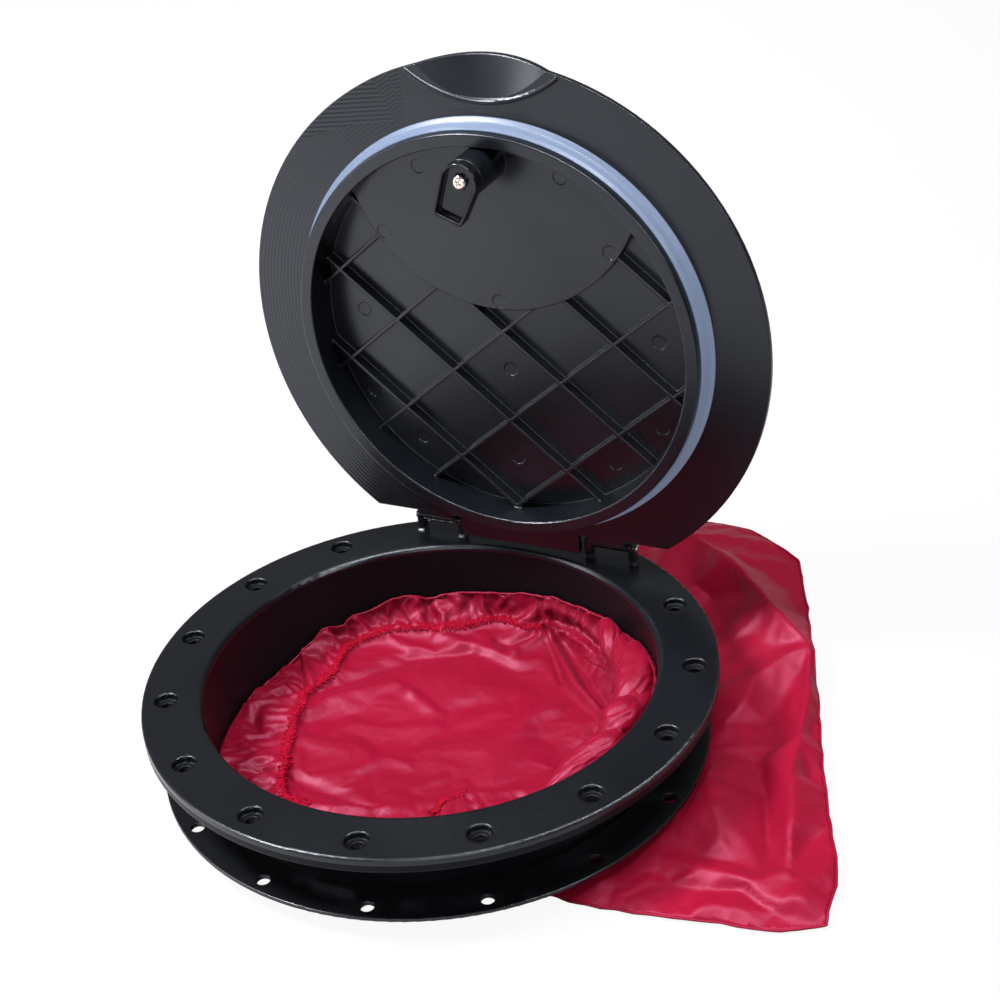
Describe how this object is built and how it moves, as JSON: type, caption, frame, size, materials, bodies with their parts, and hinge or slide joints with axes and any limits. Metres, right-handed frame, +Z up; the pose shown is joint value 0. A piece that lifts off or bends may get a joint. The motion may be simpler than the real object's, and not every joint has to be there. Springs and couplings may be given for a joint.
{
  "type": "deck hatch",
  "caption": "Round flush deck hatch for small boats: screw-down flange, hinged ribbed lid with seal and turn latch, clamping ring, and a gathered storage bag.",
  "frame": {"origin": "centre of the neck on the deck surface, level with the underside of the deck flange", "axes": "+Z up out of the deck, +Y towards the hinge, +X to the right when looking from the lift lip to the hinge"},
  "size_m": [0.3255, 0.3405, 0.2898],
  "materials": {
    "black_plastic": "satin moulded plastic, slightly blue black",
    "latch_plastic": "polished moulded plastic",
    "washer_plastic": "natural nylon",
    "o_ring_rubber": "smooth",
    "seal_silicone": "pale milky silicone",
    "pin_steel": "drawn stainless wire",
    "screw_steel": "bright stainless",
    "bag_nylon": "thin crimson nylon with a sheen",
    "elastic_cord": "covered cord"
  },
  "bodies": {
    "frame": {"deck_frame": "black_plastic", "hinge_pin_left": "pin_steel", "hinge_pin_right": "pin_steel", "storage_bag": "bag_nylon", "bag_elastic": "elastic_cord"},
    "lid": {"lid_shell": "black_plastic", "lid_seal": "seal_silicone"},
    "latch": {"latch_knob": "latch_plastic", "latch_cam": "latch_plastic", "latch_washer": "washer_plastic", "latch_o_ring": "o_ring_rubber", "latch_screw": "screw_steel"},
    "ring": {"backing_ring": "black_plastic"}
  },
  "joints": [
    {"name": "lid_hinge", "type": "hinge", "parent": "frame", "child": "lid", "pos_m": [0, 0.1075, 0.0143], "axis": [-1, 0, 0], "range_deg": [-90.87, 85]},
    {"name": "latch_turn", "type": "hinge", "parent": "lid", "child": "latch", "pos_m": [0, 0.1025, 0.2055], "axis": [0, 0.9999, -0.0152], "range_deg": [0, 170]},
    {"name": "ring_slide", "type": "slide", "parent": "frame", "child": "ring", "axis": [0, 0, 1], "range_m": [0, 0.0245]}
  ]
}
